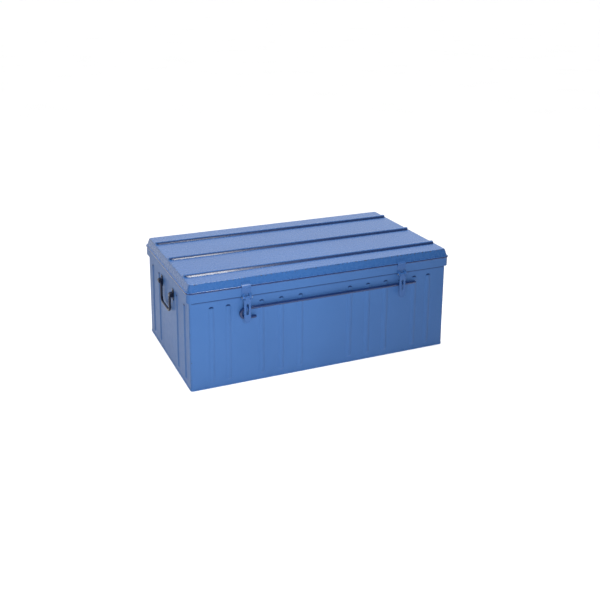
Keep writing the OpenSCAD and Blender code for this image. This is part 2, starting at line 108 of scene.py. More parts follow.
class Facing(Enum):
    """The way a wall of the trunk faces, as its turn in degrees from the front."""

    FRONT = 0
    RIGHT = 90
    BACK = 180
    LEFT = 270

    def turn(self) -> Matrix:
        """Returns the rotation about the upright axis that takes the front to this side."""
        return Matrix.Rotation(math.radians(self.value), 3, "Z")


# ---------------------------------------------------------------- curves and sampling


def smooth_max(a: float, b: float, soft: float) -> float:
    """The larger of two heights, with the crease between them filled over a soft range.

    Args:
        a: one height.
        b: the other height.
        soft: the difference below which the two blend.

    Returns:
        The blended height.
    """
    close = max(soft - abs(a - b), 0.0)
    return max(a, b) + close * close / (4 * soft)


def smooth_min(a: float, b: float, soft: float) -> float:
    """The smaller of two heights, with the ridge between them rounded over a soft range."""
    return -smooth_max(-a, -b, soft)


def ease(value: float, low: float, high: float) -> float:
    """Rises smoothly from 0 at low to 1 at high."""
    t = min(1.0, max(0.0, (value - low) / (high - low)))
    return t * t * (3 - 2 * t)


def samples(low: float, high: float, coarse: float, fine: float,
            zones: Sequence[tuple[float, float]]) -> list[float]:
    """Positions along a line, close together inside the zones and further apart elsewhere.

    Args:
        low: the first position.
        high: the last position.
        coarse: the largest step outside the zones.
        fine: the largest step inside a zone.
        zones: (start, end) of each stretch that needs the fine step.

    Returns:
        The rising positions, low and high included.
    """
    stops = {low, high}
    for start, end in zones:
        stops.update(x for x in (start, end) if low < x < high)
    edges = sorted(stops)
    found = [low]
    for a, b in zip(edges, edges[1:]):
        middle = (a + b) / 2
        step = fine if any(start <= middle <= end for start, end in zones) else coarse
        count = max(1, math.ceil((b - a) / step))
        found += [a + (b - a) * i / count for i in range(1, count + 1)]
    return found


def arc(centre: tuple[float, float], radius: float, start: float, end: float,
        steps: int) -> list[tuple[float, float]]:
    """Points of an arc in a profile plane.

    Args:
        centre: the arc's centre.
        radius: its radius.
        start: angle of the first point in degrees.
        end: angle of the last point in degrees.
        steps: number of chords.

    Returns:
        The points, both ends included.
    """
    angles = [math.radians(start + (end - start) * i / steps) for i in range(steps + 1)]
    return [(centre[0] + radius * math.cos(a), centre[1] + radius * math.sin(a)) for a in angles]


def oil_can(x: float, y: float, seed: float) -> float:
    """Slow waves of a thin sheet, from about -1 to 1, at a place on the sheet in metres."""
    broad = noise.noise(Vector((x * BROAD_WAVES, y * BROAD_WAVES, seed)))
    tight = noise.noise(Vector((x * TIGHT_WAVES, y * TIGHT_WAVES, seed + TIGHT_SEED)))
    return broad + TIGHT_SHARE * tight


# ---------------------------------------------------------------- meshes


def add_object(name: str, data: bpy.types.ID) -> bpy.types.Object:
    """Makes an object of a mesh, a lamp or a camera and links it to the scene."""
    made = bpy.data.objects.new(name, data)
    bpy.context.scene.collection.objects.link(made)
    return made


class SheetMesh:
    """Collects the points, faces, and wear and painted shade of one piece and turns them into an
    object.
    """

    def __init__(self, name: str) -> None:
        """Starts an empty piece with that name."""
        self.name = name
        self.points: list[Vector] = []
        self.wear_and_shade: list[float] = []
        self.faces: list[tuple[int, ...]] = []

    def add_row(self, row: Sequence[tuple[Vector, float]]) -> list[int]:
        """Adds a row of (point, wear and painted shade) and returns the numbers of its points."""
        first = len(self.points)
        self.points += [point for point, _ in row]
        self.wear_and_shade += [wear_and_shade for _, wear_and_shade in row]
        return list(range(first, len(self.points)))

    def add_grid(self, rows: Sequence[Sequence[tuple[Vector, float]]],
                 closed: bool = False) -> None:
        """Adds a sheet of quads.

        Args:
            rows: rows of (point, wear and painted shade), all of one length.
            closed: joins the last row to the first.
        """
        numbers = [self.add_row(row) for row in rows]
        pairs = list(zip(numbers, numbers[1:] + numbers[:1]))
        for near, far in pairs if closed else pairs[:-1]:
            for i in range(len(near) - 1):
                self.faces.append((near[i], near[i + 1], far[i + 1], far[i]))

    def add_border(self, outer: Sequence[tuple[Vector, float]],
                   inner: Sequence[tuple[Vector, float]]) -> None:
        """Joins two matching lines of points with one strip of quads."""
        self.add_grid([outer, inner])

    def build(self, weld: float = 2e-6, sharp_deg: float = 40.0) -> bpy.types.Object:
        """Makes the object, with its points welded, its faces turned outward and its wear and
        painted shade stored.

        Args:
            weld: points closer than this become one.
            sharp_deg: edges sharper than this stay crisp.

        Returns:
            The new object, linked to the scene.
        """
        mesh = bpy.data.meshes.new(self.name)
        soup = bmesh.new()
        # One value a point: above zero is rubbed wear, below zero is painted shade.
        layer = soup.verts.layers.float.new("wear_and_shade")
        made = []
        for point, wear_and_shade in zip(self.points, self.wear_and_shade):
            vert = soup.verts.new(point)
            vert[layer] = wear_and_shade
            made.append(vert)
        for face in self.faces:
            soup.faces.new([made[i] for i in face])
        bmesh.ops.remove_doubles(soup, verts=soup.verts, dist=weld)
        bmesh.ops.recalc_face_normals(soup, faces=soup.faces)
        soup.to_mesh(mesh)
        soup.free()
        mesh.polygons.foreach_set("use_smooth", [True] * len(mesh.polygons))
        mesh.set_sharp_from_angle(angle=math.radians(sharp_deg))
        return add_object(self.name, mesh)


# ---------------------------------------------------------------- finishes


def remap(tree: bpy.types.NodeTree, value: bpy.types.NodeSocket, low: float, high: float,
          to_low: float, to_high: float) -> bpy.types.NodeSocket:
    """Adds a node that maps low to high onto another range, held at its ends.

    Args:
        tree: the node tree that gets it.
        value: the output that is mapped.
        low: the value that becomes to_low.
        high: the value that becomes to_high.
        to_low: the result at low.
        to_high: the result at high.

    Returns:
        The mapped output.
    """
    made = tree.nodes.new("ShaderNodeMapRange")
    made.interpolation_type = "SMOOTHSTEP"
    tree.links.new(value, made.inputs["Value"])
    ends = (("From Min", low), ("From Max", high), ("To Min", to_low), ("To Max", to_high))
    for key, number in ends:
        made.inputs[key].default_value = number
    return made.outputs["Result"]


class Graph:
    """Short-hand for wiring the nodes of one material."""

    def __init__(self, name: str) -> None:
        """Starts a material with a Principled shader and nothing else."""
        self.material = bpy.data.materials.new(name)
        self.material.use_nodes = True
        self.tree = self.material.node_tree
        self.tree.nodes.clear()
        self.shader = self.node("ShaderNodeBsdfPrincipled")
        output = self.node("ShaderNodeOutputMaterial")
        self.link(self.shader.outputs["BSDF"], output.inputs["Surface"])
        self.place = self.node("ShaderNodeTexCoord").outputs["Object"]
        self.normal = self.node("ShaderNodeTexCoord").outputs["Normal"]

    def node(self, kind: str, **settings: Any) -> bpy.types.Node:
        """Adds a node and sets its properties."""
        made = self.tree.nodes.new(kind)
        for key, value in settings.items():
            setattr(made, key, value)
        return made

    def link(self, out: bpy.types.NodeSocket, into: bpy.types.NodeSocket) -> None:
        """Joins two sockets."""
        self.tree.links.new(out, into)

    def feed(self, value: Any, into: bpy.types.NodeSocket) -> None:
        """Gives a socket a number, a colour or another socket's output."""
        if isinstance(value, bpy.types.NodeSocket):
            self.link(value, into)
        else:
            into.default_value = value

    def stretched(self, scale: tuple[float, float, float]) -> bpy.types.NodeSocket:
        """Returns the object's own coordinates, scaled along each axis."""
        mapping = self.node("ShaderNodeMapping")
        self.link(self.place, mapping.inputs["Vector"])
        mapping.inputs["Scale"].default_value = scale
        return mapping.outputs["Vector"]

    def noise(self, scale: float, detail: float = 2.0, rough: float = 0.5,
              place: bpy.types.NodeSocket | None = None) -> bpy.types.NodeSocket:
        """Returns a noise of so many waves a metre."""
        made = self.node("ShaderNodeTexNoise")
        self.link(place or self.place, made.inputs["Vector"])
        made.inputs["Scale"].default_value = scale
        made.inputs["Detail"].default_value = detail
        made.inputs["Roughness"].default_value = rough
        return made.outputs["Fac"]

    def between(self, value: bpy.types.NodeSocket, low: float, high: float,
                to_low: float = 0.0, to_high: float = 1.0) -> bpy.types.NodeSocket:
        """Maps low to high onto another range, held at its ends."""
        return remap(self.tree, value, low, high, to_low, to_high)

    def maths(self, operation: str, a: Any, b: Any) -> bpy.types.NodeSocket:
        """Returns a Math node's result for two numbers or sockets."""
        made = self.node("ShaderNodeMath", operation=operation)
        self.feed(a, made.inputs[0])
        self.feed(b, made.inputs[1])
        return made.outputs[0]

    def mix(self, share: Any, a: Any, b: Any) -> bpy.types.NodeSocket:
        """Returns colour a going over to colour b by a share."""
        made = self.node("ShaderNodeMix", data_type="RGBA")
        self.feed(share, made.inputs[0])
        self.feed(a, made.inputs[6])
        self.feed(b, made.inputs[7])
        return made.outputs[2]

    def bump(self, height: bpy.types.NodeSocket, distance: float, strength: float = 1.0,
             under: bpy.types.NodeSocket | None = None) -> bpy.types.NodeSocket:
        """Returns a normal bumped by a height, on top of another bump."""
        made = self.node("ShaderNodeBump")
        made.inputs["Strength"].default_value = strength
        made.inputs["Distance"].default_value = distance
        self.link(height, made.inputs["Height"])
        if under is not None:
            self.link(under, made.inputs["Normal"])
        return made.outputs["Normal"]


Colour = tuple[float, float, float, float]


@dataclass(frozen=True)
class Enamel:
    """Glossy paint over steel sheet, with orange peel, dust on what faces up, rubbed edges, and
    painted shade where the wear attribute is negative.
    """

    name: str
    colour: Colour
    deep: Colour
    roughness: float = 0.3
    coat: float = 0.2
    ior: float = 1.4
    dust: float = 0.0
    chips: float = 0.2
    rub: float = 0.0
    peel_mm: float = 0.006
    film_mm: float = 0.06
    coat_roughness: float = 0.12
    bare: Colour = (0.045, 0.05, 0.06, 1.0)
    # Colour of the painted shade that creases, rib heads, the foot and the line under the lid's
    # edge go over to.
    painted_shade: Colour = (0.008, 0.02, 0.075, 1.0)
    dust_colour: Colour = (0.36, 0.37, 0.38, 1.0)

    def dusted(self, g: Graph, colour: bpy.types.NodeSocket,
               rough: bpy.types.NodeSocket) -> tuple[bpy.types.NodeSocket, bpy.types.NodeSocket]:
        """Returns the colour and the roughness with dust laid on what faces up."""
        up = g.node("ShaderNodeSeparateXYZ")
        g.link(g.normal, up.inputs["Vector"])
        lying = g.between(up.outputs["Z"], 0.55, 0.98)
        grain = g.between(g.noise(GRAIN_WAVES, 3.0, 0.7), 0.42, 0.72, 0.55, 1.0)
        patchy = g.between(g.noise(PATCH_WAVES, 5.0, 0.62), 0.3, 0.75, 0.35, 1.0)
        grainy = g.maths("MULTIPLY", lying, grain)
        dust = g.maths("MULTIPLY", grainy, g.maths("MULTIPLY", patchy, self.dust))
        colour = g.mix(dust, colour, self.dust_colour)
        return colour, g.maths("ADD", rough, g.maths("MULTIPLY", dust, 0.5))

    def scratched(self, g: Graph, colour: bpy.types.NodeSocket,
                  rough: bpy.types.NodeSocket) -> tuple[bpy.types.NodeSocket, bpy.types.NodeSocket]:
        """Returns the colour and the roughness with long rubbed scratches."""
        lines = g.noise(SCRATCH_WAVES, 4.0, 0.7, g.stretched((1.0, 60.0, 60.0)))
        marks = g.between(lines, 0.6, 0.78, 0.0, self.rub)
        colour = g.mix(marks, colour, self.bare)
        return colour, g.maths("ADD", rough, g.maths("MULTIPLY", marks, 0.3))

    def material(self) -> bpy.types.Material:
        """Returns the enamel as a node material."""
        g = Graph(self.name)
        cloud = g.between(g.noise(CLOUD_WAVES, 3.0), 0.3, 0.7)
        mottle = g.noise(MOTTLE_WAVES, 4.0, 0.6)
        colour = g.mix(cloud, self.colour, self.deep)
        colour = g.mix(g.between(mottle, 0.35, 0.75, 0.0, 0.14), colour, self.deep)
        rough = g.between(mottle, 0.3, 0.7, self.roughness - 0.02, self.roughness + 0.03)
        if self.dust > 0:
            colour, rough = self.dusted(g, colour, rough)
        edge = g.node("ShaderNodeAttribute", attribute_name="wear_and_shade").outputs["Fac"]
        # Below zero the attribute is painted shade: the colour goes over to the dark shade colour
        # there.
        shade_mask = g.between(edge, -0.7, -0.05, 1.0, 0.0)
        colour = g.mix(shade_mask, colour, self.painted_shade)
        chip_lift = g.maths("MULTIPLY", edge, self.chips)
        flecks = g.maths("ADD", g.noise(FLECK_WAVES, 5.0, 0.62), chip_lift)
        worn_through = g.between(flecks, 0.735, 0.765)
        chipped = g.maths("MULTIPLY", worn_through, g.between(edge, 0.02, 0.15))
        colour = g.mix(chipped, colour, self.bare)
        if self.rub > 0:
            colour, rough = self.scratched(g, colour, rough)
        g.link(colour, g.shader.inputs["Base Color"])
        g.link(rough, g.shader.inputs["Roughness"])
        skin = g.bump(g.noise(PEEL_WAVES, 1.5), self.peel_mm * MM)
        skin = g.bump(g.maths("SUBTRACT", 1.0, chipped), self.film_mm * MM, under=skin)
        g.link(skin, g.shader.inputs["Normal"])
        g.shader.inputs["IOR"].default_value = self.ior
        g.shader.inputs["Coat Weight"].default_value = self.coat
        g.shader.inputs["Coat Roughness"].default_value = self.coat_roughness
        g.shader.inputs["Coat IOR"].default_value = self.ior
        return g.material


@dataclass(frozen=True)
class PlatedSteel:
    """Dull zinc plating with a faint turned grain."""

    name: str
    colour: Colour = (0.42, 0.44, 0.47, 1.0)
    tarnish: Colour = (0.2, 0.21, 0.23, 1.0)
    roughness: float = 0.42

    def material(self) -> bpy.types.Material:
        """Returns the plating as a node material."""
        g = Graph(self.name)
        blotch = g.between(g.noise(160.0, 4.0, 0.6), 0.35, 0.7)
        g.link(g.mix(blotch, self.colour, self.tarnish), g.shader.inputs["Base Color"])
        rough = g.between(blotch, 0.0, 1.0, self.roughness, self.roughness + 0.18)
        g.link(rough, g.shader.inputs["Roughness"])
        grain = g.noise(900.0, 2.0, 0.5, g.stretched((1.0, 0.15, 0.15)))
        g.link(g.bump(grain, 0.015 * MM), g.shader.inputs["Normal"])
        g.shader.inputs["Metallic"].default_value = 0.85
        return g.material


@dataclass(frozen=True)
class PaintShop:
    """The finishes of the whole trunk."""

    body: Enamel = Enamel("body_enamel", (0.044, 0.12, 0.31, 1), (0.039, 0.108, 0.285, 1),
                          roughness=0.42, coat=0.0, ior=1.26)
    lid: Enamel = Enamel("lid_enamel", (0.034, 0.108, 0.3, 1), (0.03, 0.097, 0.275, 1),
                         roughness=0.27, coat=0.22, dust=0.04, peel_mm=0.0006)
    dark: Enamel = Enamel("dark_enamel", (0.01, 0.028, 0.11, 1), (0.007, 0.02, 0.08, 1),
                          roughness=0.2, coat=0.4)
    fitting: Enamel = Enamel("fitting_enamel", (0.034, 0.104, 0.29, 1), (0.028, 0.086, 0.25, 1),
                             roughness=0.24, coat=0.2, ior=1.3, rub=0.15,
                             bare=(0.016, 0.03, 0.085, 1.0))
    handle: Enamel = Enamel("handle_enamel", (0.009, 0.013, 0.032, 1), (0.005, 0.008, 0.02, 1),
                            roughness=0.3, coat=0.1, ior=1.3, rub=0.15,
                            bare=(0.1, 0.105, 0.115, 1.0))
    pin: PlatedSteel = PlatedSteel("pin_zinc")

    def mixed(self) -> dict[Finish, bpy.types.Material]:
        """Returns the material of every finish."""
        return {
            Finish.BODY: self.body.material(),
            Finish.LID: self.lid.material(),
            Finish.FITTING: self.fitting.material(),
            Finish.HANDLE: self.handle.material(),
            Finish.PIN: self.pin.material(),
            Finish.DARK: self.dark.material(),
        }


# ---------------------------------------------------------------- sizes from the frame


@dataclass(frozen=True)
class TrunkSizes:
    """The sizes that several sub-assemblies share, read from the frame or named here."""

    half_l: float
    half_w: float
    wall_top: float
    lid_low: float
    band_top: float
    lid_half_l: float
    lid_half_w: float
    crown_top: float
    sheet: float = 1.2 * MM
    corner_r: float = 8 * MM

    @classmethod
    def from_frame(cls) -> "TrunkSizes":
        """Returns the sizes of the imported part."""
        _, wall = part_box("front_panel")
        _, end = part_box("right_end_panel")
        low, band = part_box("lid_rim_band")
        _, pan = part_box("lid_top_pan")
        return cls(half_l=wall.x, half_w=end.y + cls.corner_r, wall_top=wall.z, lid_low=low.z,
                   band_top=band.z, lid_half_l=band.x, lid_half_w=band.y, crown_top=pan.z)


# ---------------------------------------------------------------- pressed walls


@dataclass(frozen=True)
class Press:
    """Cross-section of a pressed rib: an arched crown with soft roots."""

    width: float
    height: float
    root: float

    def crown(self, off: float) -> float:
        """Height of the bare arch at a distance from its centre line, negative past its edge."""
        radius = (self.width ** 2 / 4 + self.height ** 2) / (2 * self.height)
        return math.sqrt(max(radius ** 2 - off ** 2, 0.0)) - (radius - self.height)

    def at(self, off: float) -> float:
        """Height of the finished rib above the sheet at a distance from its centre line."""
        return min(self.height, smooth_max(self.crown(off), 0.0, self.root))

    def crest(self, rise: float) -> float:
        """How much a place of that height belongs to the crest, from 0 to 1."""
        return ease(rise, 0.8 * self.height, self.height)


@dataclass
class PressedWall:
    """One wall of the trunk: thin sheet with upright ribs. A long wall has its ends turned back."""

    name: str
    facing: Facing
    sizes: TrunkSizes
    ribs: Sequence[float]
    turned: bool
    press: Press = Press(19 * MM, 3.2 * MM, 1.7 * MM)
    foot: float = 19 * MM
    head: float = 268 * MM
    slack: float = 0.28 * MM
    crest_rub: float = 0.1
    edge_rub: float = 0.5
    # Strengths of the painted shade: in rib creases, beside rib heads, at the foot and under the
    # lid's edge.
    rib_shade: float = 0.12
    head_shade: float = 0.6
    foot_shade: float = 0.5
    lip_shade: float = 0.8

    def straight(self) -> float:
        """Half the length of the wall's flat stretch."""
        along = self.sizes.half_l if self.turned else self.sizes.half_w
        return along - self.sizes.corner_r

    def depth(self) -> float:
        """Distance of the wall's outer face from the middle of the trunk."""
        return self.sizes.half_w if self.turned else self.sizes.half_l

    def rib_height(self, u: float, z: float) -> float:
        """Height of the ribs at a place along the wall and up it."""
        bottom = self.foot + self.press.width / 2
        top = self.head - self.press.width / 2
        past = max(bottom - z, z - top, 0.0)
        return max(self.press.at(math.hypot(u - rib, past)) for rib in self.ribs)

    def point(self, u: float, z: float, out: float) -> Vector:
        """A point of the wall.

        Args:
            u: distance along the sheet from the middle of the wall.
            z: height above the floor.
            out: distance outward from the flat sheet's outer face.

        Returns:
            The point in the row frame.
        """
        r = self.sizes.corner_r
        flat = self.straight()
        past = max(abs(u) - flat, 0.0)
        turn = past / r
        side = math.copysign(1.0, u)
        x = side * (min(abs(u), flat) + (r + out) * math.sin(turn))
        y = -self.depth() + r - (r + out) * math.cos(turn)
        return self.facing.turn() @ Vector((x, y, z))

    def surface(self, u: float, z: float) -> tuple[float, float]:
        """Height of the outer face above the flat sheet, and its wear less its painted shade."""
        rib = self.rib_height(u, z)
        calm = 1 - ease(abs(u), self.straight() - 12 * MM, self.straight())
        calm *= ease(z, 0.0, 25 * MM) * (1 - ease(z, self.head + 6 * MM, self.sizes.wall_top))
        wave = self.slack * oil_can(u, z, self.facing.value * 0.37) * calm
        return min(rib + wave, self.press.height), self.rubbing(u, z, rib) - self.painted_shade_at(z, rib)

    def rubbing(self, u: float, z: float, rib: float) -> float:
        """How rubbed the paint is: rib crests, turned corners and the foot."""
        flat = self.straight()
        corner = ease(abs(u), flat - 1 * MM, flat + 4 * MM) if self.turned else 0.0
        foot = 1 - ease(z, 4 * MM, 14 * MM)
        return max(self.crest_rub * self.press.crest(rib), self.edge_rub * corner,
                   self.edge_rub * foot)

    def painted_shade_at(self, z: float, rib: float) -> float:
        """How much painted shade darkens the wall: in the creases beside the ribs, most beside a
        rib's head, at the foot and in a line under the lid's edge.
        """
        share = rib / self.press.height
        crease = ease(share, 0.03, 0.2) * (1 - ease(share, 0.5, 0.9))
        crease *= self.rib_shade + self.head_shade * ease(z, self.head - 7 * MM, self.head - 2 * MM)
        crease = max(crease, self.foot_shade * (1 - ease(z, 1 * MM, 5 * MM)))
        low = self.sizes.lid_low
        rise = ease(z, low - 6 * MM, low - 2 * MM)
        under = self.lip_shade * rise * (1 - ease(z, low + 1 * MM, low + 3 * MM))
        return max(crease, under)

    def build(self) -> bpy.types.Object:
        """Builds the wall as a closed thin sheet."""
        reach = self.straight() + (self.sizes.corner_r * math.pi / 2 if self.turned else 0.0)
        side = self.press.width / 2 + 3 * MM
        zones = [(rib - side, rib + side) for rib in self.ribs]
        corner = self.straight() - 2 * MM
        zones += [(-reach, -corner), (corner, reach)]
        us = samples(-reach, reach, 12 * MM, 1.1 * MM, zones)
        ends = [(self.foot - 3 * MM, self.foot + side), (self.head - side, self.head + 3 * MM)]
        zs = samples(0.0, self.sizes.wall_top, 11 * MM, 1.2 * MM, ends)
        outer, inner = [], []
        for u in us:
            column = [(z, *self.surface(u, z)) for z in zs]
            outer.append([(self.point(u, z, out), wear_and_shade) for z, out, wear_and_shade in column])
            inner.append([(self.point(u, z, out - self.sizes.sheet), 0.0) for z, out, _ in column])
        mesh = SheetMesh(self.name)
        mesh.add_grid(outer)
        mesh.add_grid(inner)
        mesh.add_border(outer[0], inner[0])
        mesh.add_border(outer[-1], inner[-1])
        mesh.add_border([row[0] for row in outer], [row[0] for row in inner])
        mesh.add_border([row[-1] for row in outer], [row[-1] for row in inner])
        return mesh.build()


# ---------------------------------------------------------------- pan of the lid


@dataclass
class LidPan:
    """Top of the lid: a sheet with three long ribs, folded down into a skirt with a wired bead."""

    sizes: TrunkSizes
    corner_r: float = 16 * MM
    seat: float = 10 * MM
    lean: float = 10 * MM
    fold_r: float = 3.5 * MM
    bead_r: float = 3 * MM
    bead_in: float = 0.3 * MM
    bead_trim: float = 0.4 * MM
    bead_depth: float = 2.2 * MM
    fillet: float = 0.9 * MM
    throat: float = 2.4 * MM
    rib_pitch: float = 172 * MM
    rib_rows: tuple[int, ...] = (-1, 0, 1)
    rib_end: float = 2 * MM
    end_slope: float = 5.0
    end_round: float = 1.6 * MM
    press: Press = Press(34 * MM, 7 * MM, 2.4 * MM)
    slack: float = 0.32 * MM
    wave_seed: float = 3.1
    top_rub: float = 0.1
    skirt_rub: float = 0.15
    bead_rub: float = 0.25
    tip_rub: float = 0.7
    fold_rub: float = 0.9
    # Strength of the painted shade on the ribs' slopes.
    painted_shade: float = 0.6
    corner_steps: int = 10
    flat_steps: int = 6
    skirt_steps: int = 4
    rows_y: list[float] = field(default_factory=list)
    rows_x: list[float] = field(default_factory=list)

    def top(self) -> float:
        """Height of the flat top sheet."""
        return self.sizes.crown_top - self.press.height

    def axis_x(self) -> float:
        """Distance of the corner axes from the middle, along the trunk."""
        return self.sizes.lid_half_l - self.corner_r

    def axis_y(self) -> float:
        """Distance of the corner axes from the middle, across the trunk."""
        return self.sizes.lid_half_w - self.corner_r

    def slope(self) -> float:
        """Lean of the skirt from upright, in radians."""
        drop = self.top() - self.sizes.band_top - self.bead_r
        return math.atan((self.lean - self.bead_in) / drop)

    def fold_u(self) -> float:
        """Distance from the corner axes at which the fold begins."""
        run = self.fold_r * math.tan((math.pi / 2 - self.slope()) / 2)
        return self.corner_r - self.lean - run

    def surface(self, x: float, y: float) -> tuple[float, float]:
        """Height of the top above the flat sheet, and its wear less the painted shade on the ribs.
        """
        reach = self.axis_x() + self.corner_r - self.lean - self.rib_end
        cap = reach - self.press.width / 2
        row = min(self.rib_rows, key=lambda i: abs(y - i * self.rib_pitch))
        off = abs(y - row * self.rib_pitch)
        past = max(abs(x) - cap, 0.0)
        end = self.end_slope * (self.press.width / 2 - math.hypot(past, off))
        end += 2 * max(cap - abs(x), 0.0)
        arch = smooth_min(self.press.crown(off), end, self.end_round)
        rib = min(self.press.height, smooth_max(arch, 0.0, self.press.root))
        calm = 1 - ease(abs(x), self.axis_x() - 30 * MM, self.axis_x())
        calm *= 1 - ease(abs(y), self.axis_y() - 25 * MM, self.axis_y())
        wave = self.slack * oil_can(x, y, self.wave_seed) * calm
        crest = self.press.crest(rib)
        tip = crest * ease(abs(x), cap, reach)
        share = rib / self.press.height
        # Painted shade darkens the ribs' slopes, and part of their crests, so the ribs read as dark
        # lines.
        crease = self.painted_shade * ease(share, 0.02, 0.12) * (1 - 0.65 * ease(share, 0.7, 0.98))
        marks = max(self.skirt_rub * crest, self.tip_rub * tip)
        return min(rib + wave, self.press.height), marks - crease

    def lay_out(self) -> None:
        """Works out where the top's rows and columns lie."""
        half = self.press.width / 2 + 4 * MM
        zones = [(i * self.rib_pitch - half, i * self.rib_pitch + half) for i in self.rib_rows]
        self.rows_y = samples(-self.axis_y(), self.axis_y(), 14 * MM, 1.5 * MM, zones)
        tip = self.axis_x() - self.press.width / 2 - 4 * MM
        limit = self.axis_x()
        self.rows_x = samples(-limit, limit, 18 * MM, 1.2 * MM, [(-limit, -tip), (tip, limit)])

    def profile(self) -> list[tuple[float, float, float, bool]]:
        """The side's closed-off profile, from the top sheet's outer face round to its inner face.

        Returns:
            (distance from the corner axes, height, wear, follows the ribs) of each point.
        """
        lean = self.slope()
        lean_deg = math.degrees(lean)
        fold = (self.fold_u(), self.top() - self.fold_r)
        bead = (self.corner_r - self.bead_in, self.sizes.band_top + self.bead_r)
        sheet = self.sizes.sheet
        flats = [self.fold_u() * i / self.flat_steps for i in range(self.flat_steps)]
        outer = [(u, self.top(), self.top_rub, True) for u in flats]
        folded = arc(fold, self.fold_r, 90, lean_deg, 7)
        outer += [(u, z, self.fold_rub, False) for u, z in folded]
        start = folded[-1]
        meet = math.hypot(self.bead_r, self.fillet)
        foot = (bead[0] - meet * math.sin(lean), bead[1] + meet * math.cos(lean))
        for i in range(1, self.skirt_steps + 1):
            share = i / self.skirt_steps
            u = start[0] + (foot[0] - start[0]) * share
            z = start[1] + (foot[1] - start[1]) * share
            outer.append((u, z, self.skirt_rub, False))
        wired = arc(bead, self.bead_r, 84 + lean_deg, -90, 16)
        outer += [(u, z, self.bead_rub, False) for u, z in wired]
        seat_u = self.corner_r - self.seat
        floor = self.sizes.band_top
        inner = [(seat_u, floor), (seat_u, floor + sheet)]
        inner += [(bead[0] - self.throat, floor + sheet)]
        inner += [(bead[0] - self.bead_r, bead[1])]
        inner += [(bead[0] - self.bead_r - sheet * 0.2, bead[1] + self.throat)]
        inner += arc(fold, self.fold_r - sheet, lean_deg, 90, 5)
        back = [(u, z, 0.0, False) for u, z in inner]
        back += [(u, self.top() - sheet, 0.0, True) for u in reversed(flats)]
        return outer + back

    def ring_places(self) -> list[tuple[Vector, Vector]]:
        """(axis point, outward direction) of each station round the lid, anticlockwise."""
        found = []
        sides = [
            ([(x, -self.axis_y()) for x in self.rows_x], -90),
            ([(self.axis_x(), y) for y in self.rows_y], 0),
            ([(x, self.axis_y()) for x in reversed(self.rows_x)], 90),
            ([(-self.axis_x(), y) for y in reversed(self.rows_y)], 180),
        ]
        for line, heading in sides:
            out = Vector((math.cos(math.radians(heading)), math.sin(math.radians(heading))))
            found += [(Vector(place), out) for place in line]
            corner = Vector(line[-1])
            for i in range(1, self.corner_steps):
                angle = math.radians(heading + 90 * i / self.corner_steps)
                found.append((corner, Vector((math.cos(angle), math.sin(angle)))))
        return found

    def ring(self) -> list[list[tuple[Vector, float]]]:
        """Every station's profile in the row frame."""
        profile = self.profile()
        rows = []
        for place, out in self.ring_places():
            row = []
            for u, z, wear_and_shade, ribbed in profile:
                at = place + out * u
                rise, marks = self.surface(at.x, at.y) if ribbed else (0.0, 0.0)
                row.append((Vector((at.x, at.y, z + rise)), max(wear_and_shade, marks)))
            rows.append(row)
        return rows

    def build(self) -> bpy.types.Object:
        """Builds the pan as a closed thin sheet."""
        self.lay_out()
        mesh = SheetMesh("lid_pan_skin")
        for drop, marks in ((0.0, 1.0), (self.sizes.sheet, 0.0)):
            rows = []
            for x in self.rows_x:
                heights = [(y, *self.surface(x, y)) for y in self.rows_y]
                rows.append([(Vector((x, y, self.top() + rise - drop)), wear_and_shade * marks)
                             for y, rise, wear_and_shade in heights])
            mesh.add_grid(rows)
        mesh.add_grid(self.ring(), closed=True)
        return mesh.build(weld=2e-5, sharp_deg=48.0)

    def mark_bead(self, pan: bpy.types.Object) -> None:
        """Gives the wired bead's outer faces the pan's second material, the dark enamel: painted
        shade standing for the shadow line along the bead.
        """
        top = self.sizes.band_top + 2 * self.bead_r - self.bead_trim
        far_x = self.sizes.lid_half_l - self.bead_depth
        far_y = self.sizes.lid_half_w - self.bead_depth
        for face in pan.data.polygons:
            at = face.center
            inside = abs(at.x) < far_x and abs(at.y) < far_y
            if at.z < top and not inside:
                face.material_index = BEAD_SLOT


# ---------------------------------------------------------------- weld beads


@dataclass(frozen=True)
class WeldBead:
    """A lumpy bead of weld along a line, or round a wire's foot."""

    radius: float = 1.1 * MM
    ripple: float = 1.7 * MM
    ripple_rise: float = 0.12
    lump_rise: float = 0.25
    lumps: int = 400
    rub: float = 0.2
    sides: int = 8

    def along(self, mesh: SheetMesh, path: Sequence[Vector], closed: bool, seed: float) -> None:
        """Adds a bead that follows a path.

        Args:
            mesh: the piece that gets it.
            path: evenly spaced points of its centre line.
            closed: the path runs back to its first point.
            seed: picks the bead's own unevenness.
        """
        rows = []
        count = len(path)
        travelled = 0.0
        for i, place in enumerate(path):
            ahead = path[(i + 1) % count] if closed or i < count - 1 else place
            behind = path[i - 1] if closed or i > 0 else place
            forward = (ahead - behind).normalized()
            side = forward.orthogonal().normalized()
            up = forward.cross(side)
            travelled += (place - behind).length if i else 0.0
            lump = self.ripple_rise * math.sin(2 * math.pi * travelled / self.ripple)
            lump += self.lump_rise * noise.noise(place * self.lumps + Vector((seed, 0, 0)))
            tail = 1.0 if closed else min(1.0, 0.25 + 0.5 * min(i, count - 1 - i))
            radius = self.radius * (1 + lump) * tail
            ring = []
            for k in range(self.sides + 1):
                angle = 2 * math.pi * k / self.sides
                away = math.cos(angle) * side + math.sin(angle) * up
                ring.append((place + radius * away, self.rub))
            rows.append(ring)
        mesh.add_grid(rows, closed=closed)
        if not closed:
            for row in (rows[0], rows[-1]):
                middle = sum((point for point, _ in row[:-1]), Vector()) / self.sides
                mesh.add_border(row, [(middle, self.rub)] * len(row))


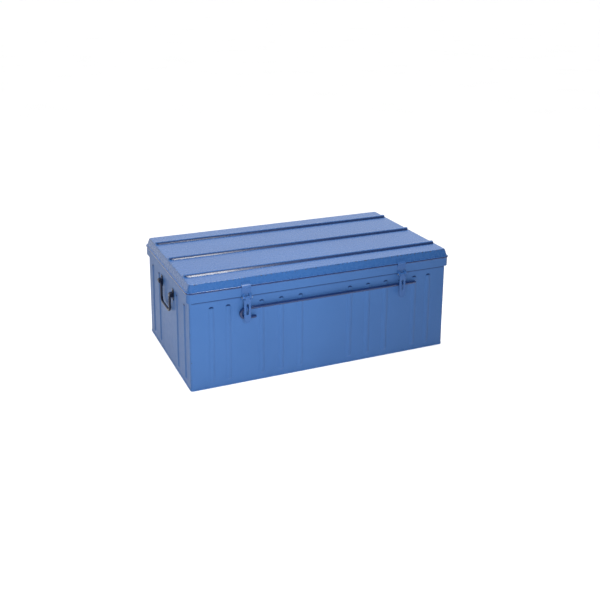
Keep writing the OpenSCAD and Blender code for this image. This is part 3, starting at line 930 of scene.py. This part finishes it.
@dataclass
class Welds:
    """The weld beads that hold the rod's staples to the wall and the hasps to the lid."""

    sizes: TrunkSizes
    bead: WeldBead = WeldBead()
    eye_r: float = 7.5 * MM
    eye_in: float = 3.2 * MM
    foot_r: float = 3.2 * MM
    foot_sink: float = 0.4 * MM
    foot_steps: int = 28
    leaf_foot: float = 8 * MM
    leaf_head: float = 3 * MM
    leaf_proud: float = 0.2 * MM
    leaf_steps: int = 26

    def staples(self) -> bpy.types.Object:
        """Builds a ring of weld round each foot of the two staples."""
        low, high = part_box("rod_staples")
        eye_x = high.x - self.eye_in
        eye_y = high.y - self.foot_sink
        middle = (low.z + high.z) / 2
        angles = [2 * math.pi * i / self.foot_steps for i in range(self.foot_steps)]
        mesh = SheetMesh("staple_welds")
        for side in SIDES:
            for up in SIDES:
                centre = Vector((side * eye_x, eye_y, middle + up * self.eye_r))
                path = [centre + self.foot_r * Vector((math.cos(a), 0, math.sin(a)))
                        for a in angles]
                self.bead.along(mesh, path, True, side * 3.0 + up)
        return mesh.build()

    def hasps(self) -> bpy.types.Object:
        """Builds the short beads down both edges of each hasp's leaf."""
        mesh = SheetMesh("hasp_welds")
        for side in ("left", "right"):
            low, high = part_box(f"{side}_hasp_leaf")
            start = self.sizes.lid_low + self.leaf_foot
            end = self.sizes.band_top - self.leaf_head
            y = -self.sizes.lid_half_w - self.leaf_proud
            rises = [start + (end - start) * i / self.leaf_steps
                     for i in range(self.leaf_steps + 1)]
            for x in (low.x, high.x):
                path = [Vector((x, y, z)) for z in rises]
                self.bead.along(mesh, path, False, x * 50)
        return mesh.build()


# ---------------------------------------------------------------- CAD sub-parts


@dataclass(frozen=True)
class Dressing:
    """How a CAD node is finished: its coat and how far its edges are rounded."""

    node: str
    finish: Finish
    round_mm: float
    round_steps: int = 2
    round_from_deg: float = 34
    weld_gap: float = 1e-5
    face_weight: int = 100

    def apply(self, paints: dict[Finish, bpy.types.Material]) -> bpy.types.Object:
        """Paints the node and softens its edges, and returns its object."""
        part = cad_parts[self.node]
        part.data.materials.clear()
        part.data.materials.append(paints[self.finish])
        weld = part.modifiers.new("join", "WELD")
        weld.merge_threshold = self.weld_gap
        edge = part.modifiers.new("soft_edges", "BEVEL")
        edge.width = self.round_mm * MM
        edge.segments = self.round_steps
        edge.limit_method = "ANGLE"
        edge.angle_limit = math.radians(self.round_from_deg)
        edge.use_clamp_overlap = True
        normals = part.modifiers.new("even_normals", "WEIGHTED_NORMAL")
        normals.weight = self.face_weight
        part.data.polygons.foreach_set("use_smooth", [True] * len(part.data.polygons))
        LOG.info("%s: CAD mesh, %s", self.node, self.finish.value)
        return part


@dataclass
class Fittings:
    """Every sub-part that keeps its CAD mesh."""

    plain: Sequence[Dressing] = (
        Dressing("base_panel", Finish.BODY, 0.2),
        Dressing("base_hem", Finish.BODY, 0.4),
        Dressing("body_rim", Finish.BODY, 0.3),
        Dressing("lid_rim_band", Finish.BODY, 0.5),
        Dressing("rod_staples", Finish.FITTING, 0.3),
        Dressing("closing_rod", Finish.DARK, 0.5),
        Dressing("hinge_body_leaves", Finish.FITTING, 0.4),
        Dressing("hinge_lid_leaves", Finish.FITTING, 0.4),
        Dressing("hinge_body_rivets", Finish.FITTING, 0.15),
        Dressing("hinge_lid_rivets", Finish.FITTING, 0.15),
        Dressing("hinge_pins", Finish.PIN, 0.3),
    )
    sided: Sequence[tuple[str, Finish, float]] = (
        ("hasp_leaf", Finish.FITTING, 0.35),
        ("hasp_tongue", Finish.FITTING, 0.4),
        ("hasp_pin", Finish.PIN, 0.2),
        ("handle_bail", Finish.HANDLE, 0.3),
        ("handle_brackets", Finish.HANDLE, 0.35),
        ("handle_rivets", Finish.HANDLE, 0.15),
    )

    def dress(self, paints: dict[Finish, bpy.types.Material]) -> list[bpy.types.Object]:
        """Finishes every node and returns their objects."""
        both = [Dressing(f"{side}_{name}", finish, soft)
                for name, finish, soft in self.sided for side in ("left", "right")]
        return [dressing.apply(paints) for dressing in (*self.plain, *both)]


# ---------------------------------------------------------------- the trunk


@dataclass
class Trunk:
    """The whole trunk: its new skins and its dressed CAD sub-parts."""

    sizes: TrunkSizes
    paints: dict[Finish, bpy.types.Material]
    long_ribs_mm: Sequence[float] = (87, 153, 219, 328, 382)
    end_ribs_mm: Sequence[float] = (110, 194)

    def finish(self, piece: bpy.types.Object, body: Body, slot: Slot,
               *nodes: str) -> bpy.types.Object:
        """Paints a new piece and hangs it on its body.

        Args:
            piece: the new object.
            body: the body that it rides on.
            slot: the slot that it takes its finish from.
            nodes: the CAD nodes that it stands for.

        Returns:
            The same object.
        """
        piece.data.materials.append(self.paints[Finish[slot.name]])
        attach(piece, body.value)
        if nodes:
            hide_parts(*nodes)
        LOG.info("%s: %d points, rides on %s", piece.name, len(piece.data.vertices), body.value)
        return piece

    def walls(self) -> None:
        """Builds the four pressed walls."""
        long_ribs = [side * x * MM for side in SIDES for x in self.long_ribs_mm]
        end_ribs = [side * y * MM for side in SIDES for y in self.end_ribs_mm]
        for name, facing in (("front", Facing.FRONT), ("back", Facing.BACK)):
            node = f"{name}_panel"
            wall = PressedWall(f"{name}_wall_skin", facing, self.sizes, long_ribs, True)
            self.finish(wall.build(), Body.TRUNK, Slot.BODY, node)
        for name, facing in (("left", Facing.LEFT), ("right", Facing.RIGHT)):
            node = f"{name}_end_panel"
            wall = PressedWall(f"{name}_end_skin", facing, self.sizes, end_ribs, False)
            self.finish(wall.build(), Body.TRUNK, Slot.BODY, node)

    def build(self) -> None:
        """Builds and dresses every piece of the trunk."""
        self.walls()
        lid = LidPan(self.sizes)
        pan = self.finish(lid.build(), Body.LID, Slot.LID, "lid_top_pan")
        # The dark enamel on the wired bead is painted shade.
        pan.data.materials.append(self.paints[Finish.DARK])
        lid.mark_bead(pan)
        welds = Welds(self.sizes)
        self.finish(welds.staples(), Body.TRUNK, Slot.FITTING)
        self.finish(welds.hasps(), Body.LID, Slot.FITTING)
        Fittings().dress(self.paints)


# ---------------------------------------------------------------- studio


@dataclass(frozen=True)
class SoftBox:
    """A soft rectangular lamp aimed at a point."""

    name: str
    place: tuple[float, float, float]
    aim: tuple[float, float, float]
    width: float
    height: float
    watts: float
    glossy: bool = False
    spread_deg: float = 180.0

    def build(self) -> bpy.types.Object:
        """Hangs the lamp."""
        data = bpy.data.lights.new(self.name, "AREA")
        data.shape = "RECTANGLE"
        data.size = self.width
        data.size_y = self.height
        data.energy = self.watts
        data.spread = math.radians(self.spread_deg)
        lamp = add_object(self.name, data)
        lamp.location = self.place
        toward = Vector(self.aim) - Vector(self.place)
        lamp.rotation_euler = toward.to_track_quat("-Z", "Y").to_euler()
        lamp.visible_glossy = self.glossy
        lamp.visible_camera = False
        return lamp


@dataclass(frozen=True)
class Skylight:
    """Even soft light from a broad part of the ceiling."""

    name: str
    azimuth: float
    elevation: float
    strength: float
    spread_deg: float

    def build(self) -> bpy.types.Object:
        """Hangs the light."""
        data = bpy.data.lights.new(self.name, "SUN")
        data.energy = self.strength
        data.angle = math.radians(self.spread_deg)
        lamp = add_object(self.name, data)
        a = math.radians(self.azimuth)
        e = math.radians(self.elevation)
        back = Vector((math.sin(a) * math.cos(e), -math.cos(a) * math.cos(e), math.sin(e)))
        lamp.rotation_euler = (-back).to_track_quat("-Z", "Y").to_euler()
        data.use_shadow = False
        lamp.visible_glossy = False
        return lamp


@dataclass(frozen=True)
class Viewpoint:
    """The camera's place, heading and lens."""

    eye: tuple[float, float, float] = (-1.087, -2.519, 1.244)
    azimuth: float = 23.68
    elevation: float = 13.78
    roll: float = 0.45
    lens_mm: float = 50.2
    shift_y: float = -0.2
    sensor_mm: float = 36.0
    sight_m: float = 200.0

    def place(self) -> bpy.types.Object:
        """Sets up the scene's camera and returns it."""
        a, e, r = (math.radians(x) for x in (self.azimuth, self.elevation, self.roll))
        forward = Vector((math.sin(a) * math.cos(e), math.cos(a) * math.cos(e), -math.sin(e)))
        right = Vector((math.cos(a), -math.sin(a), 0))
        up = right.cross(forward)
        right, up = (math.cos(r) * right + math.sin(r) * up,
                     math.cos(r) * up - math.sin(r) * right)
        data = bpy.data.cameras.new("camera")
        data.lens = self.lens_mm
        data.sensor_width = self.sensor_mm
        data.shift_y = self.shift_y
        data.dof.use_dof = False
        data.clip_end = self.sight_m
        camera = add_object("camera", data)
        turn = Matrix((right, up, -forward)).transposed()
        camera.matrix_world = Matrix.Translation(self.eye) @ turn.to_4x4()
        bpy.context.scene.camera = camera
        return camera


@dataclass
class Studio:
    """The pale floor, the room that the paint reflects, the lamps and the camera.

    backward and upward each hold two directions and the room's brightness at both.
    """

    floor_half: float = 60.0
    floor_near: float = 8.0
    floor_glow: float = 0.27
    backward: tuple[float, float, float, float] = (-0.35, 0.25, 0.05, 0.92)
    upward: tuple[float, float, float, float] = (0.38, 0.62, 1.0, 0.08)
    lamps: Sequence[SoftBox] = (
        SoftBox("front_box", (-0.55, -1.5, 0.75), (-0.3, -0.25, 0.24), 0.9, 0.5, 8.2,
                spread_deg=110.0),
        SoftBox("strip_box", (0.15, -0.1, 2.2), (-0.1, -0.1, 0.35), 0.7, 0.3, 19.0, glossy=True),
    )
    sky: Sequence[Skylight] = (
        Skylight("back_sky", 180.0, 52.0, 4.2, 80.0),
    )

    def floor(self) -> bpy.types.Object:
        """Lays a wide pale floor."""
        far, near = self.floor_half, self.floor_near
        mesh = SheetMesh("studio_floor")
        steps = [-far, -near, near, far]
        mesh.add_grid([[(Vector((x, y, 0.0)), 0.0) for y in steps] for x in steps])
        floor = mesh.build()
        g = Graph("pale_floor")
        tone = g.between(g.noise(1.5, 2.0), 0.3, 0.7)
        grey = g.mix(tone, (0.68, 0.68, 0.68, 1), (0.72, 0.72, 0.72, 1))
        g.link(grey, g.shader.inputs["Base Color"])
        g.shader.inputs["Roughness"].default_value = 0.9
        g.shader.inputs["Specular IOR Level"].default_value = 0.1
        g.shader.inputs["Emission Color"].default_value = WHITE
        g.shader.inputs["Emission Strength"].default_value = self.floor_glow
        floor.data.materials.append(g.material)
        return floor

    def room(self) -> None:
        """Sets the room round the trunk: pale behind it, dim above it and dim behind the lens."""
        world = bpy.data.worlds.new("studio_room")
        bpy.context.scene.world = world
        world.use_nodes = True
        tree = world.node_tree
        tree.nodes.clear()
        output = tree.nodes.new("ShaderNodeOutputWorld")
        shade = tree.nodes.new("ShaderNodeBackground")
        place = tree.nodes.new("ShaderNodeTexCoord")
        split = tree.nodes.new("ShaderNodeSeparateXYZ")
        tree.links.new(place.outputs["Generated"], split.inputs["Vector"])
        backward = remap(tree, split.outputs["Y"], *self.backward)
        height = remap(tree, split.outputs["Z"], *self.upward)
        both = tree.nodes.new("ShaderNodeMath")
        both.operation = "MULTIPLY"
        tree.links.new(backward, both.inputs[0])
        tree.links.new(height, both.inputs[1])
        tree.links.new(both.outputs[0], shade.inputs["Strength"])
        shade.inputs["Color"].default_value = WHITE
        tree.links.new(shade.outputs["Background"], output.inputs["Surface"])
        world.cycles_visibility.diffuse = False

    def build(self) -> None:
        """Builds the whole studio."""
        self.floor()
        self.room()
        for lamp in (*self.lamps, *self.sky):
            lamp.build()
        Viewpoint().place()
        view = bpy.context.scene.view_settings
        view.view_transform = "Standard"
        view.look = "None"
        view.exposure = 0.0
        view.gamma = 1.0


def main() -> None:
    """Builds the trunk and its studio."""
    logging.basicConfig(level=logging.INFO, format="%(name)s: %(message)s", stream=sys.stdout)
    Studio().build()
    Trunk(TrunkSizes.from_frame(), PaintShop().mixed()).build()


if __name__ == "__main__":
    main()
